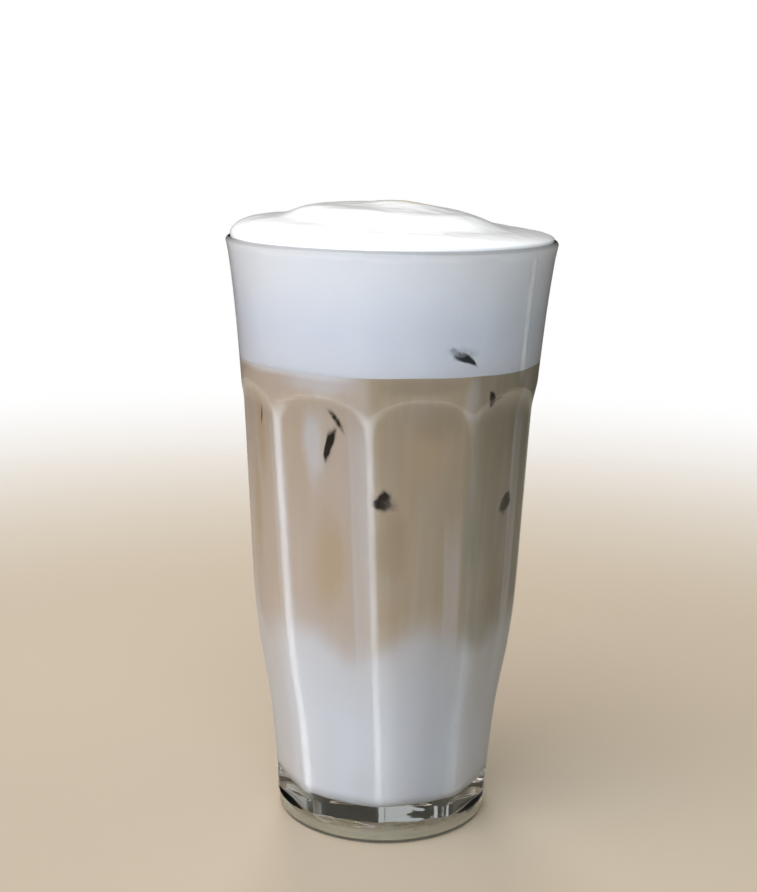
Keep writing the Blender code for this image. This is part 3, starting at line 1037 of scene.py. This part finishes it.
def studio_world(settings):
    """Plain white backdrop for the eye, and a soft room round the glass that lights it."""
    world = bpy.data.worlds.new("studio_light")
    bpy.context.scene.world = world
    world.use_nodes = True
    tree = world.node_tree
    background = tree.nodes["Background"]
    direction = tree.nodes.new("ShaderNodeTexCoord").outputs["Generated"]
    place = tree.nodes.new("ShaderNodeSeparateXYZ")
    tree.links.new(direction, place.inputs["Vector"])
    above = ranged(tree, place.outputs["Z"], *HORIZON)
    behind = ranged(tree, place.outputs["Y"], -0.3, 0.7, 1.0, DIM_BEHIND)
    colour = blended(tree, 1.0, settings.room, behind, "MULTIPLY")
    colour = blended(tree, above, settings.ground, colour)
    for towards, low, high, tone in (
        ((0.0, 0.0, 1.0), 0.50, 1.00, settings.ceiling),
        ((-0.85, -0.45, 0.25), 0.35, 0.95, settings.left_window),
        ((-0.45, -0.95, 0.20), 0.35, 0.95, settings.front_left),
        ((0.98, 0.00, 0.15), 0.40, 0.95, settings.right),
    ):
        share = times(tree, glow(tree, direction, towards, low, high), above)
        colour = blended(tree, share, colour, tone, "ADD")
    panel = maths(tree, "MAXIMUM", *(glow(tree, direction, *disc) for disc in PANEL_DISCS))
    colour = blended(tree, panel, colour, settings.back_panel, "ADD")
    path = tree.nodes.new("ShaderNodeLightPath")
    seen = blended(tree, path.outputs["Is Camera Ray"], colour, (1.0, 1.0, 1.0))
    feed(tree, background, {"Color": seen, "Strength": 1.0})


def key_lamp(power):
    """Soft rectangular lamp behind the glass that points at its middle."""
    lamp = bpy.data.lights.new("key_lamp", "AREA")
    lamp.shape = "RECTANGLE"
    lamp.size, lamp.size_y = KEY_SIZE
    lamp.energy = power
    lamp.color = KEY_COLOUR
    holder = bpy.data.objects.new("key_lamp", lamp)
    holder.location = KEY_PLACE
    aim = Vector((0, 0, GLASS_HEIGHT / 2)) - Vector(KEY_PLACE)
    holder.rotation_euler = aim.to_track_quat("-Z", "Y").to_euler()
    holder.visible_camera = False
    bpy.context.scene.collection.objects.link(holder)


def floor_material(colour):
    """Plain pale matt floor that fades out into the backdrop."""
    material, tree, shader = new_material("pale_floor")
    point = object_place(tree)[0]
    grain = noise_value(tree, point, (9, 9, 9), detail=3.0)
    tone = blended(tree, ranged(tree, grain, 0.3, 0.7), [c * 0.98 for c in colour], colour)
    shown = ranged(tree, far_from_centre(tree, point), *FLOOR_FADE, 1.0, 0.0)
    feed(tree, shader, {"Base Color": tone, "Roughness": 0.7, "Alpha": shown})
    return material


def floor_piece(colour):
    """Wide round floor that the glass stands on."""
    mesh = bmesh.new()
    bmesh.ops.create_circle(mesh, cap_ends=True, segments=96, radius=FLOOR_FADE[1])
    data = bpy.data.meshes.new("floor")
    mesh.to_mesh(data)
    mesh.free()
    data.materials.append(floor_material(colour))
    floor = bpy.data.objects.new("floor", data)
    bpy.context.scene.collection.objects.link(floor)


def photo_camera():
    """Camera at the photograph's place, level and lens."""
    data = bpy.data.cameras.new("camera")
    data.sensor_width = SENSOR_MM
    data.lens = LENS_MM
    camera = bpy.data.objects.new("camera", data)
    pitch, turn = CAMERA_PITCH, CAMERA_TURN
    ahead = Vector((math.sin(turn) * math.cos(pitch), math.cos(turn) * math.cos(pitch), -math.sin(pitch)))
    aim = ahead.to_track_quat("-Z", "Y") @ Quaternion((0, 0, 1), CAMERA_ROLL)
    camera.location = (0, -CAMERA_DISTANCE, CAMERA_HEIGHT)
    camera.rotation_euler = aim.to_euler()
    bpy.context.scene.collection.objects.link(camera)
    bpy.context.scene.camera = camera


# Settings


def colour_property(name, description, default):
    """Colour that a user may change."""
    return FloatVectorProperty(name=name, description=description, subtype="COLOR", size=3, default=default)


class DrinkSizes(bpy.types.PropertyGroup):
    """Sizes of the drink that may be changed."""

    milk_level: FloatProperty(
        name="Milk level",
        description="Height of the border between milk and coffee",
        unit="LENGTH",
        default=0.0530,
    )
    foam_rise: FloatProperty(
        name="Foam rise", description="Height of the foam's broad mound", unit="LENGTH", default=0.0031
    )
    ice_side: FloatProperty(
        name="Ice side", description="Length of an ice cube's side", unit="LENGTH", default=0.0150
    )


class DrinkColours(bpy.types.PropertyGroup):
    """Colours of the glass and the drink."""

    glass: colour_property("Glass", "Tint of the glass", (0.985, 0.995, 0.99))
    milk: colour_property("Milk", "White milk at the bottom", (0.69, 0.71, 0.755))
    # Painted light on the milk's underside on the glass's base
    painted_light_underside: colour_property("Milk underside", "Milk on the glass's base", (0.92, 0.87, 0.74))
    coffee: colour_property("Coffee", "Warm patches of coffee", (0.485, 0.355, 0.215))
    # The palest coffee milk also serves as painted light left of the first rib
    pale_coffee: colour_property("Pale coffee", "Palest coffee milk", (0.540, 0.435, 0.345))
    middle_coffee: colour_property("Middle coffee", "Coffee milk in front", (0.425, 0.335, 0.232))
    # Painted shade on the coffee milk right of the second rib
    painted_shade_coffee: colour_property("Dense coffee", "Coffee milk at the right", (0.270, 0.243, 0.178))
    densest_coffee: colour_property("Densest coffee", "Darkest clouds", (0.300, 0.236, 0.160))
    milky_coffee: colour_property("Milky coffee", "Milkiest clouds", (0.610, 0.575, 0.570))
    cool_coffee: colour_property("Cool coffee", "Milkier coffee", (0.48, 0.435, 0.40))
    foam: colour_property("Foam", "Milk foam", (0.785, 0.825, 0.885))
    # Froth and foam top: whiter foam with painted light from above
    froth_and_painted_light: colour_property("Froth", "Whiter foam at the lip", (0.95, 0.95, 0.975))
    foam_top: colour_property("Foam top", "Warm white foam above the lip", (0.99, 0.97, 0.94))
    # Painted shade of the bare ice against the wall
    deep_ice_painted_shade: colour_property("Deep ice", "Bare ice in the coffee", (0.003, 0.002, 0.001))
    foam_ice_painted_shade: colour_property("Foam ice", "Bare ice in the foam", (0.012, 0.020, 0.030))
    stain: colour_property("Stain", "Faint coffee stain on the foam", (0.80, 0.66, 0.42))


class StudioSettings(bpy.types.PropertyGroup):
    """Light and floor of the plain studio."""

    room: colour_property("Room", "Dim light from all round", (0.050, 0.055, 0.045))
    ground: colour_property("Ground", "Dim light from below the horizon", (0.10, 0.088, 0.066))
    ceiling: colour_property("Ceiling", "Light from above", (0.66, 0.61, 0.55))
    left_window: colour_property("Left window", "Soft light from the left", (1.40, 1.10, 0.90))
    front_left: colour_property("Front left", "Soft light from the front left", (2.40, 2.87, 3.40))
    right: colour_property("Right", "Soft light from the right", (0.36, 0.38, 0.38))
    back_panel: colour_property("Back panel", "Small pale panel behind", (0.35, 0.365, 0.37))
    floor: colour_property("Floor", "Pale floor", (0.48, 0.40, 0.30))
    key_power: FloatProperty(name="Key", description="Power of the lamp behind", unit="POWER", default=4.0)


class DRINK_OT_glass(bpy.types.Operator):
    """Make the clear fluted glass"""

    bl_idname = "drink.make_glass"
    bl_label = "Make glass"

    def execute(self, context):
        colours = context.scene.drink_colours
        add_piece("clear_tumbler", glass_mesh(), glass_material(colours.glass), "glass")
        return {"FINISHED"}


class DRINK_OT_milk_and_coffee(bpy.types.Operator):
    """Make the white milk and the coffee milk above it"""

    bl_idname = "drink.make_milk_and_coffee"
    bl_label = "Make milk and coffee"

    def execute(self, context):
        colours = context.scene.drink_colours
        level = context.scene.drink_sizes.milk_level
        milk = drink_material("milk", colours, level)
        add_piece("milk_at_the_bottom", milk_mesh(level), milk, "milk_layer")
        coffee = drink_material("coffee", colours, level)
        add_piece("coffee_and_milk", coffee_mesh(level), coffee, "coffee_layer")
        return {"FINISHED"}


class DRINK_OT_foam(bpy.types.Operator):
    """Make the cap of milk foam"""

    bl_idname = "drink.make_foam"
    bl_label = "Make foam"

    def execute(self, context):
        colours = context.scene.drink_colours
        material = foam_material(colours.foam, colours.froth_and_painted_light, colours.foam_top, colours.stain)
        rise = context.scene.drink_sizes.foam_rise
        add_piece("foam_cap", foam_mesh(rise), material, "foam")
        return {"FINISHED"}


class DRINK_OT_ice(bpy.types.Operator):
    """Make the ice cubes in the drink and the dark places of painted shade where ice lies bare against the
    glass
    """

    bl_idname = "drink.make_ice"
    bl_label = "Make ice"

    def execute(self, context):
        sizes = context.scene.drink_sizes
        add_piece("ice_cubes", ice_cubes_mesh(sizes.ice_side), ice_material())
        material = bare_ice_material(context.scene.drink_colours)
        add_piece("bare_ice_painted_shade_at_the_wall", bare_ice_mesh(), material)
        return {"FINISHED"}


class DRINK_OT_studio(bpy.types.Operator):
    """Make the floor, the light and the camera"""

    bl_idname = "drink.make_studio"
    bl_label = "Make studio"

    def execute(self, context):
        settings = context.scene.studio_settings
        context.scene.view_settings.view_transform = "Standard"
        studio_world(settings)
        floor_piece(settings.floor)
        key_lamp(settings.key_power)
        photo_camera()
        return {"FINISHED"}


OPERATORS = (DRINK_OT_glass, DRINK_OT_milk_and_coffee, DRINK_OT_foam, DRINK_OT_ice, DRINK_OT_studio)


class DRINK_PT_panel(bpy.types.Panel):
    """Buttons that make the drink"""

    bl_idname = "DRINK_PT_panel"
    bl_label = "Iced cappuccino"
    bl_space_type = "VIEW_3D"
    bl_region_type = "UI"
    bl_category = "Drink"

    def draw(self, context):
        for operator in OPERATORS:
            self.layout.operator(operator.bl_idname)


CLASSES = (DrinkSizes, DrinkColours, StudioSettings, *OPERATORS, DRINK_PT_panel)


def register():
    """Register the classes and their settings."""
    for item in CLASSES:
        bpy.utils.register_class(item)
    bpy.types.Scene.drink_sizes = PointerProperty(type=DrinkSizes)
    bpy.types.Scene.drink_colours = PointerProperty(type=DrinkColours)
    bpy.types.Scene.studio_settings = PointerProperty(type=StudioSettings)


def unregister():
    """Take the classes and their settings away again."""
    del bpy.types.Scene.studio_settings
    del bpy.types.Scene.drink_colours
    del bpy.types.Scene.drink_sizes
    for item in reversed(CLASSES):
        bpy.utils.unregister_class(item)


def main():
    """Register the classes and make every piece."""
    register()
    bpy.ops.drink.make_glass()
    bpy.ops.drink.make_milk_and_coffee()
    bpy.ops.drink.make_foam()
    bpy.ops.drink.make_ice()
    bpy.ops.drink.make_studio()


if __name__ == "__main__":
    main()
